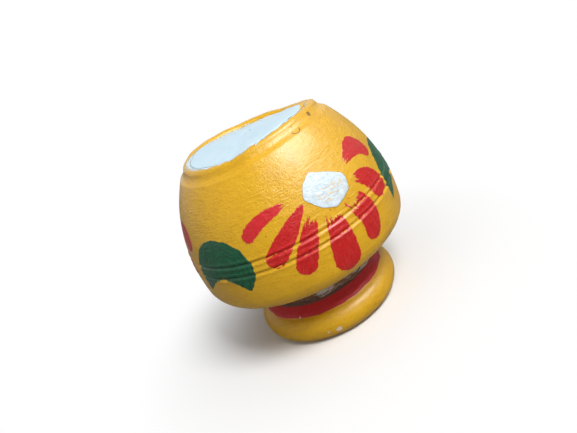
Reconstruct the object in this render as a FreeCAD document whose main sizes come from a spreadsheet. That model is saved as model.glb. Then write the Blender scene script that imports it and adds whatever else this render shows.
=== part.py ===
"""A small clay lamp: a thrown pot bonded to a dish-shaped foot with glue, holding a wax refill and wick.

Millimetres, +Z up. The origin is the centre of the ring that the foot stands on, so a level is a height
above it. Every piece is turned about the Z axis, from a section drawn in the XZ plane.
"""

import FreeCAD, Part
import math
import os
import Sketcher

OUT_FOLDER = "parts"

# Driving dimensions: alias, millimetres, what it is.
DIMENSIONS = [
    ("rim_level", 60.0, "overall height, standing face to rim"),
    ("belly_radius", 32.0, "outside of the pot where it is widest"),
    ("belly_level", 29.5, "level of the widest circle"),
    ("hip_level", 22.0, "level where the belly turns in to the underside"),
    ("hip_round", 5.0, "rounding of that turn"),
    ("pot_base_radius", 13.0, "flat disc in the middle of the underside"),
    ("pot_floor", 4.6, "clay between that disc and the bowl"),
    ("pot_wall", 3.6, "clay in the belly"),
    ("hip_wall", 3.4, "clay at the hip, measured upright"),
    ("bowl_round", 4.0, "rounding between the bowl's wall and its floor"),
    ("collar_radius", 20.8, "outside of the short collar round the mouth"),
    ("collar_rise", 2.0, "collar, crease to rim"),
    ("ledge_width", 2.0, "ledge between the collar and the shoulder, across"),
    ("ledge_drop", 1.1, "the same ledge, downwards"),
    ("lip_width", 3.4, "clay at the rim"),
    ("lip_round", 1.5, "rounding of the rim's two edges"),
    ("groove_level", 36.7, "upper turned groove"),
    ("groove_pitch", 3.2, "upper groove down to the lower one"),
    ("groove_width", 1.5, "width of each groove"),
    ("groove_depth", 0.5, "depth of each groove"),
    ("foot_radius", 22.3, "outside of the foot's rounded rim"),
    ("foot_height", 14.2, "foot, standing face to its top"),
    ("foot_bead", 4.5, "section radius of the rounded rim"),
    ("foot_wear", 0.15, "how far the rim is rubbed flat where it stands"),
    ("foot_rim", 6.1, "clay at the standing face, outside to bore"),
    ("foot_web", 4.0, "clay between the hollow and the foot's top"),
    ("foot_wall", 4.0, "clay at the neck's top"),
    ("foot_round", 2.0, "rounding inside the hollow"),
    ("neck_inset", 3.1, "neck's lower end, in from the rim's outside"),
    ("neck_taper", 1.2, "neck's upper end, in from its lower end"),
    ("glue_film", 0.4, "glue between the foot's top and the pot"),
    ("glue_bore", 8.0, "middle of the glue ring that stayed dry"),
    ("glue_spread", 3.4, "squeezed-out glue, out past the neck"),
    ("glue_bulge", 1.1, "how far its outer face bows"),
    ("wax_gap", 0.35, "clearance between the wax refill and the mouth"),
    ("wax_drop", 0.4, "top of the wax, below the rim"),
    ("wax_flare", 0.55, "how far the wax spreads at its top, inside the rim's rounding"),
    ("wax_cone", 4.05, "taper at the wax's lower end, across and upright"),
    ("wick_radius", 1.1, "wick, trimmed level with the wax"),
]

# Levels and radii that more than one section uses, as expressions of the sheet's cells.
POT_BASE = "(dims.foot_height + dims.glue_film)"
BOWL_FLOOR = f"({POT_BASE} + dims.pot_floor)"
CREASE_LEVEL = "(dims.rim_level - dims.collar_rise)"
MOUTH_RADIUS = "(dims.collar_radius - dims.lip_width)"
WAX_RADIUS = f"({MOUTH_RADIUS} - dims.wax_gap)"
WAX_TOP = "(dims.rim_level - dims.wax_drop)"
SHOULDER_RADIUS = "(dims.collar_radius + dims.ledge_width)"
SHOULDER_LEVEL = f"({CREASE_LEVEL} - dims.ledge_drop)"
NECK_LOW = "(dims.foot_radius - dims.neck_inset)"
NECK_HIGH = f"({NECK_LOW} - dims.neck_taper)"

# The belly is one arc, upright at the widest circle and ending at the shoulder.
SHOULDER_IN = f"(dims.belly_radius - {SHOULDER_RADIUS})"
SHOULDER_UP = f"({SHOULDER_LEVEL} - dims.belly_level)"
BELLY_ARC = f"(({SHOULDER_IN}^2 + {SHOULDER_UP}^2) / (2 * {SHOULDER_IN}))"
BELLY_CENTRE = f"(dims.belly_radius - {BELLY_ARC})"


def belly_radius_at(level, inset="0"):
    """Expression: the belly's radius at a level, or that of a circle inset into the clay."""
    return f"({BELLY_CENTRE} + sqrt(({BELLY_ARC} - {inset})^2 - ({level} - dims.belly_level)^2))"


def underside_at(radius):
    """Expression: the level of the pot's sloping underside at a radius."""
    run = f"({belly_radius_at('dims.hip_level')} - dims.pot_base_radius)"
    return f"({POT_BASE} + (dims.hip_level - {POT_BASE}) * ({radius} - dims.pot_base_radius) / {run})"


def bowed(start, end, bulge):
    """Expression: the radius of an arc between two (radius, level) corners that bows out by bulge."""
    chord_squared = f"(({end[0]} - {start[0]})^2 + ({end[1]} - {start[1]})^2)"
    return f"(({chord_squared} / 4 + {bulge}^2) / (2 * {bulge}))"


doc = FreeCAD.newDocument("clay_lamp")
sheet = doc.addObject("Spreadsheet::Sheet", "dims")
for row, (alias, millimetres, meaning) in enumerate(DIMENSIONS, start=1):
    sheet.set(f"A{row}", alias)
    sheet.set(f"B{row}", str(millimetres))
    sheet.set(f"C{row}", meaning)
    sheet.setAlias(f"B{row}", alias)
doc.recompute()


def size(expression):
    """The value, in millimetres, of an expression of the sheet's cells."""
    return float(sheet.evalExpression(expression))


def new_body(name):
    body = doc.addObject("PartDesign::Body", name)
    body.Label = name
    body.Placement = FreeCAD.Placement()
    return body


def new_sketch(body, name):
    """A sketch on the body's own XZ plane: x is the radius, y the level."""
    sketch = body.newObject("Sketcher::SketchObject", name)
    plane = next(item for item in body.Origin.OriginFeatures if item.Role == "XZ_Plane")
    sketch.AttachmentSupport = (plane, [""])
    sketch.MapMode = "FlatFace"
    return sketch


def bind(sketch, name, constraint, expression):
    """Adds a named size to a sketch and ties it to the sheet."""
    index = sketch.addConstraint(constraint)
    sketch.renameConstraint(index, name)
    sketch.setExpression(f"Constraints.{name}", expression)


def arc_between(start, end, radius, outward):
    """The arc from start to end, bowing out of the section or into it."""
    chord = end - start
    left = FreeCAD.Vector(-chord.y, chord.x, 0).normalize()
    side = 1 if outward else -1
    centre = (start + end) / 2 + left * side * math.sqrt(radius**2 - (chord.Length / 2) ** 2)
    first, last = (start, end) if outward else (end, start)
    first_angle = math.atan2(first.y - centre.y, first.x - centre.x)
    last_angle = math.atan2(last.y - centre.y, last.x - centre.x)
    if last_angle < first_angle:
        last_angle += 2 * math.pi
    circle = Part.Circle(centre, FreeCAD.Vector(0, 0, 1), radius)
    return Part.ArcOfCircle(circle, first_angle, last_angle)


def draw_section(sketch, corners, arcs=None):
    """A closed section, counter-clockwise. Corners are (name, radius, level), as expressions.

    A side is straight unless arcs names the corner that it leaves: (radius, whether it bows outward).
    """
    arcs = arcs or {}
    points = [FreeCAD.Vector(size(radius), size(level), 0) for _, radius, level in corners]
    sides = []
    for index, (name, _, _) in enumerate(corners):
        start, end = points[index], points[(index + 1) % len(points)]
        if name in arcs:
            radius, outward = arcs[name]
            curve = sketch.addGeometry(arc_between(start, end, size(radius), outward), False)
            bind(sketch, f"{name}_arc", Sketcher.Constraint("Radius", curve, size(radius)), radius)
            sides.append((curve, 1, 2) if outward else (curve, 2, 1))
        else:
            sides.append((sketch.addGeometry(Part.LineSegment(start, end), False), 1, 2))
    for index, (name, radius, level) in enumerate(corners):
        side, begins, _ = sides[index]
        previous, _, ends = sides[index - 1]
        sketch.addConstraint(Sketcher.Constraint("Coincident", previous, ends, side, begins))
        point = points[index]
        if radius == "0":
            sketch.addConstraint(Sketcher.Constraint("PointOnObject", side, begins, -2))
        else:
            across = Sketcher.Constraint("DistanceX", side, begins, point.x)
            bind(sketch, f"{name}_radius", across, radius)
        if level == "0":
            sketch.addConstraint(Sketcher.Constraint("PointOnObject", side, begins, -1))
        else:
            bind(sketch, f"{name}_level", Sketcher.Constraint("DistanceY", side, begins, point.y), level)


def turn(body, sketch, kind, name):
    """Turns a section about the Z axis: a PartDesign Revolution adds it, a Groove cuts it."""
    feature = body.newObject(f"PartDesign::{kind}", name)
    feature.Profile = sketch
    feature.ReferenceAxis = (sketch, ["V_Axis"])
    feature.Angle = 360
    sketch.Visibility = False
    doc.recompute()
    return feature


def round_edges(body, name, circles, radius):
    """Fillets the round edges that lie at the given (radius, level) places."""
    found = []
    for index, edge in enumerate(body.Tip.Shape.Edges, start=1):
        if not isinstance(edge.Curve, Part.Circle):
            continue
        for circle_radius, level in circles:
            same_radius = abs(edge.Curve.Radius - size(circle_radius)) < 1e-4
            if same_radius and abs(edge.Curve.Center.z - size(level)) < 1e-4:
                found.append(f"Edge{index}")
    if len(found) != len(circles):
        raise RuntimeError(f"{name}: {len(found)} edges found for {len(circles)} circles")
    rounded = body.Tip
    fillet = body.newObject("PartDesign::Fillet", name)
    fillet.Base = (rounded, found)
    fillet.setExpression("Radius", radius)
    doc.recompute()
    return fillet


def make_pot():
    """The thrown bowl: round belly, sloping underside, short collar, two grooves below the shoulder."""
    body = new_body("pot")
    hip_radius = belly_radius_at("dims.hip_level")
    belly = [("hip", hip_radius, "dims.hip_level")]
    arcs = {"hip": (BELLY_ARC, True)}
    for name, middle in (
        ("lower_groove", "(dims.groove_level - dims.groove_pitch)"),
        ("upper_groove", "dims.groove_level"),
    ):
        edges = []
        for end, sign in (("bottom", "-"), ("top", "+")):
            level = f"({middle} {sign} dims.groove_width / 2)"
            edges.append((belly_radius_at(level), level))
            belly.append((f"{name}_{end}", *edges[-1]))
        arcs[f"{name}_bottom"] = (bowed(*edges, "dims.groove_depth"), False)
        arcs[f"{name}_top"] = (BELLY_ARC, True)
    outside = new_sketch(body, "pot_outside")
    draw_section(
        outside,
        [
            ("base_centre", "0", POT_BASE),
            ("base_edge", "dims.pot_base_radius", POT_BASE),
            *belly,
            ("shoulder", SHOULDER_RADIUS, SHOULDER_LEVEL),
            ("crease", "dims.collar_radius", CREASE_LEVEL),
            ("rim", "dims.collar_radius", "dims.rim_level"),
            ("rim_centre", "0", "dims.rim_level"),
        ],
        arcs,
    )
    turn(body, outside, "Revolution", "pot_form")
    round_edges(body, "pot_hip", [(hip_radius, "dims.hip_level")], "dims.hip_round")

    bowl_hip_level = "(dims.hip_level + dims.hip_wall)"
    bowl_hip_radius = belly_radius_at(bowl_hip_level, "dims.pot_wall")
    bowl_arc = f"({BELLY_ARC} - dims.pot_wall)"
    bowl_neck_level = f"(dims.belly_level + sqrt({bowl_arc}^2 - ({MOUTH_RADIUS} - {BELLY_CENTRE})^2))"
    above_rim = "(dims.rim_level + dims.collar_rise)"
    inside = new_sketch(body, "pot_inside")
    draw_section(
        inside,
        [
            ("floor_centre", "0", BOWL_FLOOR),
            ("floor_edge", "dims.pot_base_radius", BOWL_FLOOR),
            ("bowl_hip", bowl_hip_radius, bowl_hip_level),
            ("neck", MOUTH_RADIUS, bowl_neck_level),
            ("mouth", MOUTH_RADIUS, above_rim),
            ("mouth_centre", "0", above_rim),
        ],
        {"bowl_hip": (bowl_arc, True)},
    )
    turn(body, inside, "Groove", "pot_bowl")
    round_edges(body, "pot_bowl_corner", [(bowl_hip_radius, bowl_hip_level)], "dims.bowl_round")
    lip = [("dims.collar_radius", "dims.rim_level"), (MOUTH_RADIUS, "dims.rim_level")]
    round_edges(body, "pot_lip", lip, "dims.lip_round")
    return body


def make_foot():
    """An upturned clay dish: rounded rim to stand on, a short neck, and a closed flat top."""
    body = new_body("foot")
    bead_centre = "(dims.foot_radius - dims.foot_bead)"
    bead_level = "(dims.foot_bead - dims.foot_wear)"
    flat_radius = f"({bead_centre} + sqrt(dims.foot_bead^2 - {bead_level}^2))"
    neck_level = f"({bead_level} + sqrt(dims.foot_bead^2 - ({NECK_LOW} - {bead_centre})^2))"
    ceiling = "(dims.foot_height - dims.foot_web)"
    hollow_top = f"({NECK_HIGH} - dims.foot_wall)"
    bore = "(dims.foot_radius - dims.foot_rim)"
    section = new_sketch(body, "foot_section")
    draw_section(
        section,
        [
            ("ceiling_centre", "0", ceiling),
            ("hollow_top", hollow_top, ceiling),
            ("bore", bore, "0"),
            ("flat_edge", flat_radius, "0"),
            ("neck_low", NECK_LOW, neck_level),
            ("neck_high", NECK_HIGH, "dims.foot_height"),
            ("top_centre", "0", "dims.foot_height"),
        ],
        {"flat_edge": ("dims.foot_bead", True)},
    )
    turn(body, section, "Revolution", "foot_form")
    round_edges(body, "foot_hollow_corner", [(hollow_top, ceiling)], "dims.foot_round")
    return body


def make_glue():
    """The ring of set glue: a thin film on the foot's top, and a bead that fills the gap at its edge."""
    body = new_body("glue_ring")
    spread_radius = f"({NECK_HIGH} + dims.glue_spread)"
    foot_edge = (NECK_HIGH, "dims.foot_height")
    pot_edge = (spread_radius, underside_at(spread_radius))
    section = new_sketch(body, "glue_section")
    draw_section(
        section,
        [
            ("film_low", "dims.glue_bore", "dims.foot_height"),
            ("foot_edge", *foot_edge),
            ("pot_edge", *pot_edge),
            ("base_edge", "dims.pot_base_radius", POT_BASE),
            ("film_high", "dims.glue_bore", POT_BASE),
        ],
        {"foot_edge": (bowed(foot_edge, pot_edge, "dims.glue_bulge"), True)},
    )
    turn(body, section, "Revolution", "glue_form")
    return body


def make_wax():
    """The wax refill: a plug as wide as the mouth lets through, flared at the rim, with its wick's bore."""
    body = new_body("wax_refill")
    section = new_sketch(body, "wax_section")
    draw_section(
        section,
        [
            ("bore_low", "dims.wick_radius", BOWL_FLOOR),
            ("tip_edge", f"({WAX_RADIUS} - dims.wax_cone)", BOWL_FLOOR),
            ("cone_top", WAX_RADIUS, f"({BOWL_FLOOR} + dims.wax_cone)"),
            ("flare_low", WAX_RADIUS, "(dims.rim_level - dims.lip_round)"),
            ("top_edge", f"({WAX_RADIUS} + dims.wax_flare)", WAX_TOP),
            ("bore_high", "dims.wick_radius", WAX_TOP),
        ],
    )
    turn(body, section, "Revolution", "wax_form")
    return body


def make_wick():
    """The cotton wick: it stands on the bowl's floor, set in the wax and trimmed level with it."""
    body = new_body("wick")
    section = new_sketch(body, "wick_section")
    draw_section(
        section,
        [
            ("foot_centre", "0", BOWL_FLOOR),
            ("foot_edge", "dims.wick_radius", BOWL_FLOOR),
            ("trimmed_edge", "dims.wick_radius", WAX_TOP),
            ("trimmed_centre", "0", WAX_TOP),
        ],
    )
    turn(body, section, "Revolution", "wick_form")
    return body


bodies = [make_foot(), make_glue(), make_pot(), make_wax(), make_wick()]
doc.recompute()

for item in doc.Objects:
    if "Invalid" in item.State or "Error" in item.State:
        raise RuntimeError(f"{item.Name} failed: {item.State}")
for body in bodies:
    if body.Shape.isNull() or not body.Shape.isValid() or len(body.Shape.Solids) != 1:
        raise RuntimeError(f"{body.Label} is not one valid solid")

os.makedirs(OUT_FOLDER, exist_ok=True)
for body in bodies:
    body.Shape.exportStep(os.path.join(OUT_FOLDER, f"{body.Label}.step"))
    box = body.Shape.optimalBoundingBox()
    print(
        f"{body.Label}: {body.Shape.Volume / 1000:.2f} cm3, {box.XLength:.2f} wide, "
        f"levels {box.ZMin:.2f} to {box.ZMax:.2f}"
    )
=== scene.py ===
"""The looks of a small hand-painted clay oil lamp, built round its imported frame. Metres, +Z up."""

import math

import bpy
import numpy as np
from mathutils import Matrix, Vector
from mathutils.bvhtree import BVHTree


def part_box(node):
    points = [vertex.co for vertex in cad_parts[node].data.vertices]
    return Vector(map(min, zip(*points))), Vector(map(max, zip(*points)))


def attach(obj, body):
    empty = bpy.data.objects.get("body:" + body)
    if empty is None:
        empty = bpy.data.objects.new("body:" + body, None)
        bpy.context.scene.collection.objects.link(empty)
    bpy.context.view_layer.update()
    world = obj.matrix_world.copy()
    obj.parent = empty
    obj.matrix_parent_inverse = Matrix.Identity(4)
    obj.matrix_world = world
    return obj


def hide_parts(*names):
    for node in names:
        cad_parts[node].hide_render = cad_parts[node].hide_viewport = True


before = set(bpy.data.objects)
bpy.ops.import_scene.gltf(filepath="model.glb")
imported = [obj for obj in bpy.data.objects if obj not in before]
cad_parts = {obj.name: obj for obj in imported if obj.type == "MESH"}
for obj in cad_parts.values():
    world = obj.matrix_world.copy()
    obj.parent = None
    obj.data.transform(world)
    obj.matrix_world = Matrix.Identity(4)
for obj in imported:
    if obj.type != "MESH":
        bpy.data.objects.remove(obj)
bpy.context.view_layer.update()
MM = 0.001
scene = bpy.context.scene


# ---- Foot ----------------------------------------------------------------------------------------
# An upturned dish of red clay, thrown on a wheel: a thick rounded rim to stand on and a short neck.
# The outside is brushed yellow with a red band round the neck; above the band the neck is dark brown,
# which is painted shade of the gap under the pot. The hollow is bare clay, with a ragged ring of yellow
# part-way up.

foot_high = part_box("foot")[1]
foot_radius = foot_high[0] / MM
foot_height = foot_high[2] / MM


def add_node(tree, kind, operation=None, **inputs):
    """Adds a node. An input is a value or another node's socket, named by its label or as i0, i1..."""
    node = tree.nodes.new(kind)
    if operation:
        node.operation = operation
    for name, value in inputs.items():
        socket = node.inputs[int(name[1:]) if name[1:].isdigit() else name.replace("_", " ")]
        if isinstance(value, bpy.types.NodeSocket):
            tree.links.new(value, socket)
        else:
            socket.default_value = value
    return node


def make_wheel():
    """Geometry nodes that turn a profile line about the Z axis, as a wheel does, and let it wobble."""
    tree = bpy.data.node_groups.new("turned_on_a_wheel", "GeometryNodeTree")
    sockets = tree.interface
    sockets.new_socket("Profile", in_out="INPUT", socket_type="NodeSocketGeometry")
    sockets.new_socket("Segments", in_out="INPUT", socket_type="NodeSocketInt")
    sockets.new_socket("Wobble", in_out="INPUT", socket_type="NodeSocketFloat")
    sockets.new_socket("Wobble Grain", in_out="INPUT", socket_type="NodeSocketFloat")
    sockets.new_socket("Seed", in_out="INPUT", socket_type="NodeSocketFloat")
    sockets.new_socket("Finish", in_out="INPUT", socket_type="NodeSocketMaterial")
    sockets.new_socket("Shell", in_out="OUTPUT", socket_type="NodeSocketGeometry")

    def add(kind, operation=None, **inputs):
        return add_node(tree, kind, operation, **inputs)

    def sum_of(operation, first, second=0.0):
        return add("ShaderNodeMath", operation, i0=first, i1=second).outputs[0]

    given = add("NodeGroupInput").outputs
    size = add("GeometryNodeAttributeDomainSize", Geometry=given["Profile"])
    rows = size.outputs["Point Count"]
    columns = sum_of("ADD", given["Segments"], 1.0)
    grid = add("GeometryNodeMeshGrid", Vertices_X=columns, Vertices_Y=rows).outputs["Mesh"]
    index = add("GeometryNodeInputIndex").outputs[0]
    row = sum_of("MODULO", index, rows)
    column = sum_of("FLOOR", sum_of("DIVIDE", index, rows))
    angle = sum_of("MULTIPLY", sum_of("DIVIDE", column, given["Segments"]), math.tau)

    position = add("GeometryNodeInputPosition").outputs[0]
    sample = tree.nodes.new("GeometryNodeSampleIndex")
    sample.data_type = "FLOAT_VECTOR"
    tree.links.new(given["Profile"], sample.inputs["Geometry"])
    tree.links.new(position, sample.inputs["Value"])
    tree.links.new(row, sample.inputs["Index"])
    point = add("ShaderNodeSeparateXYZ", i0=sample.outputs["Value"]).outputs
    x = sum_of("MULTIPLY", point["X"], sum_of("COSINE", angle))
    y = sum_of("MULTIPLY", point["X"], sum_of("SINE", angle))
    place = add("ShaderNodeCombineXYZ", X=x, Y=y, Z=point["Z"]).outputs[0]
    turned = add("GeometryNodeSetPosition", Geometry=grid, Position=place).outputs[0]
    closed = add("GeometryNodeMergeByDistance", Geometry=turned, Distance=0.004 * MM).outputs[0]

    moved = add("ShaderNodeVectorMath", "ADD", i0=position, i1=given["Seed"]).outputs[0]
    noise = add("ShaderNodeTexNoise", Vector=moved, Scale=given["Wobble Grain"], Detail=2.0)
    amount = sum_of("MULTIPLY", sum_of("SUBTRACT", noise.outputs[0], 0.5), given["Wobble"])
    normal = add("GeometryNodeInputNormal").outputs[0]
    offset = add("ShaderNodeVectorMath", "SCALE", i0=normal, Scale=amount).outputs[0]
    wobbly = add("GeometryNodeSetPosition", Geometry=closed, Offset=offset).outputs[0]
    real = add("GeometryNodeRealizeInstances", Geometry=wobbly).outputs[0]
    coated = add("GeometryNodeSetMaterial", Geometry=real, Material=given["Finish"]).outputs[0]
    tree.links.new(coated, add("NodeGroupOutput").inputs[0])
    return tree


wheel = make_wheel()


def make_real(piece, modifier):
    """Turns a piece's modifier into plain mesh and removes it."""
    graph = bpy.context.evaluated_depsgraph_get()
    mesh = bpy.data.meshes.new_from_object(piece.evaluated_get(graph))
    piece.modifiers.remove(modifier)
    piece.data = mesh
    mesh.name = piece.name
    mesh.shade_smooth()


def set_inputs(modifier, **values):
    """Sets a node modifier's inputs by name, through the identifiers that it keeps them under."""
    sockets = modifier.node_group.interface.items_tree
    named = {item.name: item.identifier for item in sockets if item.in_out == "INPUT"}
    for name, value in values.items():
        modifier[named[name.replace("_", " ")]] = value


def throw_clay(name, profile, finish, segments, wobble, grain, seed):
    """A turned piece from its profile: (radius, level) points in millimetres, clay on the left."""
    mesh = bpy.data.meshes.new(name)
    edges = [(i, i + 1) for i in range(len(profile) - 1)]
    mesh.from_pydata([(r * MM, 0.0, z * MM) for r, z in profile], edges, [])
    piece = bpy.data.objects.new(name, mesh)
    scene.collection.objects.link(piece)
    modifier = piece.modifiers.new("wheel", "NODES")
    modifier.node_group = wheel
    set_inputs(
        modifier,
        Segments=segments,
        Wobble=wobble * MM,
        Wobble_Grain=grain / MM,
        Seed=seed,
        Finish=finish,
    )
    make_real(piece, modifier)
    return piece


def run_line(start, end, step):
    """Points of a straight stretch of a profile, about step apart, without its end."""
    count = max(1, round(math.dist(start, end) / step))
    return [
        (start[0] + (end[0] - start[0]) * i / count, start[1] + (end[1] - start[1]) * i / count)
        for i in range(count)
    ]


def run_arc(centre, radius, first, last, step):
    """Points of a round stretch, from the first angle to the last in degrees, without its end."""
    count = max(2, round(abs(math.radians(last - first)) * radius / step))
    angles = [math.radians(first + (last - first) * i / count) for i in range(count)]
    return [(centre[0] + radius * math.cos(a), centre[1] + radius * math.sin(a)) for a in angles]


def get_points(piece):
    """The piece's vertices as an array, in millimetres."""
    points = np.empty(len(piece.data.vertices) * 3, dtype=np.float64)
    piece.data.vertices.foreach_get("co", points)
    return points.reshape(-1, 3) / MM


def set_points(piece, points):
    """Moves the piece's vertices to these places, in millimetres."""
    piece.data.vertices.foreach_set("co", (points * MM).ravel())
    piece.data.update()


def get_normals(piece):
    """The outward direction at each vertex."""
    normals = np.empty(len(piece.data.vertices) * 3, dtype=np.float32)
    piece.data.vertex_normals.foreach_get("vector", normals)
    return normals.reshape(-1, 3).astype(np.float64)


def store(piece, name, values):
    """Keeps one number or one vector for each vertex, for the finish to read."""
    values = np.asarray(values, dtype=np.float32)
    if values.ndim == 1:
        piece.data.attributes.new(name, "FLOAT", "POINT").data.foreach_set("value", values)
    else:
        layer = piece.data.attributes.new(name, "FLOAT_VECTOR", "POINT")
        layer.data.foreach_set("vector", values.ravel())


def smooth_step(value, low, high):
    """0 at low and 1 at high, smooth in between. Low may be above high."""
    share = np.clip((value - low) / (high - low), 0.0, 1.0)
    return share * share * (3.0 - 2.0 * share)


def azimuth_of(points):
    """Angle round the lamp in degrees: 0 at the front, -Y, and positive towards +X."""
    return np.degrees(np.arctan2(points[:, 0], -points[:, 1]))


class Finish:
    """A material under way. Lengths in its textures are millimetres of the piece itself."""

    def __init__(self, name):
        self.material = bpy.data.materials.new(name)
        self.material.use_nodes = True
        self.tree = self.material.node_tree
        self.tree.nodes.clear()
        place = self.add("ShaderNodeTexCoord").outputs["Object"]
        self.place = self.add("ShaderNodeVectorMath", "SCALE", i0=place, Scale=1 / MM).outputs[0]

    def add(self, kind, operation=None, **inputs):
        """A node of this material."""
        return add_node(self.tree, kind, operation, **inputs)

    def sum(self, operation, first, second=0.0, third=0.0):
        """One Math node."""
        return self.add("ShaderNodeMath", operation, i0=first, i1=second, i2=third).outputs[0]

    def stretch(self, x, y, z, vector=None):
        """The place, drawn out along the axes by these factors."""
        where = self.place if vector is None else vector
        return self.add("ShaderNodeVectorMath", "MULTIPLY", i0=where, i1=(x, y, z)).outputs[0]

    def noise(self, per_mm, vector=None, detail=3.0, rough=0.55, warp=0.0):
        """Cloudy noise of about 0.5, with this many cells to a millimetre."""
        where = self.place if vector is None else vector
        node = self.add("ShaderNodeTexNoise", Vector=where, Scale=per_mm, Detail=detail)
        node.inputs["Roughness"].default_value = rough
        node.inputs["Distortion"].default_value = warp
        return node.outputs[0]

    def between(self, value, low, high):
        """0 below low, 1 above high, smooth in between. Low may be above high."""
        node = self.tree.nodes.new("ShaderNodeMapRange")
        node.interpolation_type = "SMOOTHSTEP"
        self.tree.links.new(value, node.inputs["Value"])
        node.inputs["From Min"].default_value = low
        node.inputs["From Max"].default_value = high
        return node.outputs["Result"]

    def specks(self, per_mm, radius, share, soft=0.5):
        """Scattered round spots: 1 in the middle of a spot. Share is how many cells have one."""
        cells = self.add("ShaderNodeTexVoronoi", Vector=self.place, Scale=per_mm)
        chance = self.add("ShaderNodeSeparateXYZ", i0=cells.outputs["Color"]).outputs
        has_spot = self.sum("LESS_THAN", chance["X"], share)
        reach = self.sum("MULTIPLY_ADD", chance["Y"], radius * 0.7, radius * 0.5)
        ratio = self.sum("DIVIDE", cells.outputs["Distance"], self.sum("MULTIPLY", reach, per_mm))
        return self.sum("MULTIPLY", has_spot, self.between(ratio, 1.0, 1.0 - soft))

    def mix(self, share, under, over):
        """One colour over another: a share of 0 shows the one under, 1 the one over."""
        node = self.tree.nodes.new("ShaderNodeMix")
        node.data_type = "RGBA"
        for index, value in ((0, share), (6, under), (7, over)):
            if isinstance(value, bpy.types.NodeSocket):
                self.tree.links.new(value, node.inputs[index])
            else:
                node.inputs[index].default_value = value
        return node.outputs[2]

    def kept(self, name, output="Fac"):
        """What store() left on the piece under this name."""
        node = self.tree.nodes.new("ShaderNodeAttribute")
        node.attribute_name = name
        return node.outputs[output]

    def surface(self, colour, roughness, height, **constants):
        """The finished surface: height is in millimetres of relief."""
        bump = self.add("ShaderNodeBump", Height=height)
        bump.inputs["Strength"].default_value = 1.0
        bump.inputs["Distance"].default_value = MM
        shader = self.tree.nodes.new("ShaderNodeBsdfPrincipled")
        for name, value in (("Base Color", colour), ("Roughness", roughness)):
            self.tree.links.new(value, shader.inputs[name])
        self.tree.links.new(bump.outputs[0], shader.inputs["Normal"])
        for name, value in constants.items():
            shader.inputs[name.replace("_", " ")].default_value = value
        output = self.tree.nodes.new("ShaderNodeOutputMaterial")
        self.tree.links.new(shader.outputs[0], output.inputs["Surface"])
        return shader


def colour(red, green, blue):
    """A paint colour given as it looks on a screen, 0 to 255, in the renderer's linear values."""
    shares = [channel / 255 for channel in (red, green, blue)]
    return (*[((s + 0.055) / 1.055) ** 2.4 if s > 0.04045 else s / 12.92 for s in shares], 1.0)


CLAY_DARK = colour(126, 66, 42)
CLAY_LIGHT = colour(188, 112, 76)
YELLOW = colour(225, 173, 28)
YELLOW_THIN = colour(186, 126, 18)
YELLOW_DEEP = colour(208, 154, 22)
RED = colour(196, 20, 20)
RED_THIN = colour(206, 50, 42)


def bare_clay(finish):
    """Fired red clay: its colour and its relief."""
    tone = finish.mix(finish.noise(0.5, detail=5.0), CLAY_DARK, CLAY_LIGHT)
    grit = finish.mix(finish.specks(1.2, 0.25, 0.35), tone, colour(98, 52, 36))
    relief = finish.sum("MULTIPLY", finish.noise(3.0, detail=5.0), 0.06)
    return grit, relief


def yellow_paint(finish):
    """Glossy yellow brushed on round the wheel: its colour and its relief."""
    bristle = finish.noise(2.6, finish.stretch(0.12, 0.12, 1.0), detail=4.0)
    patch = finish.noise(0.16, detail=3.0)
    thin = finish.sum("MULTIPLY", finish.between(bristle, 0.42, 0.72), 0.5)
    tone = finish.mix(thin, YELLOW, YELLOW_DEEP)
    tone = finish.mix(finish.sum("MULTIPLY", finish.between(patch, 0.5, 0.8), 0.7), tone, YELLOW_DEEP)
    peel = finish.noise(2.0, detail=5.0, rough=0.62)
    tone = finish.mix(finish.sum("MULTIPLY", finish.between(peel, 0.46, 0.30), 0.45), tone, YELLOW_THIN)
    pits = finish.specks(0.34, 0.26, 0.16)
    tone = finish.mix(finish.sum("MULTIPLY", pits, 0.7), tone, colour(126, 84, 36))
    relief = finish.sum("MULTIPLY", peel, 0.16)
    relief = finish.sum("MULTIPLY_ADD", bristle, 0.12, relief)
    relief = finish.sum("MULTIPLY_ADD", finish.noise(0.6, detail=2.0), 0.17, relief)
    relief = finish.sum("MULTIPLY_ADD", pits, -0.14, relief)
    bumps = finish.specks(0.24, 0.4, 0.22, soft=0.9)
    return tone, finish.sum("MULTIPLY_ADD", bumps, 0.07, relief)


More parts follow.
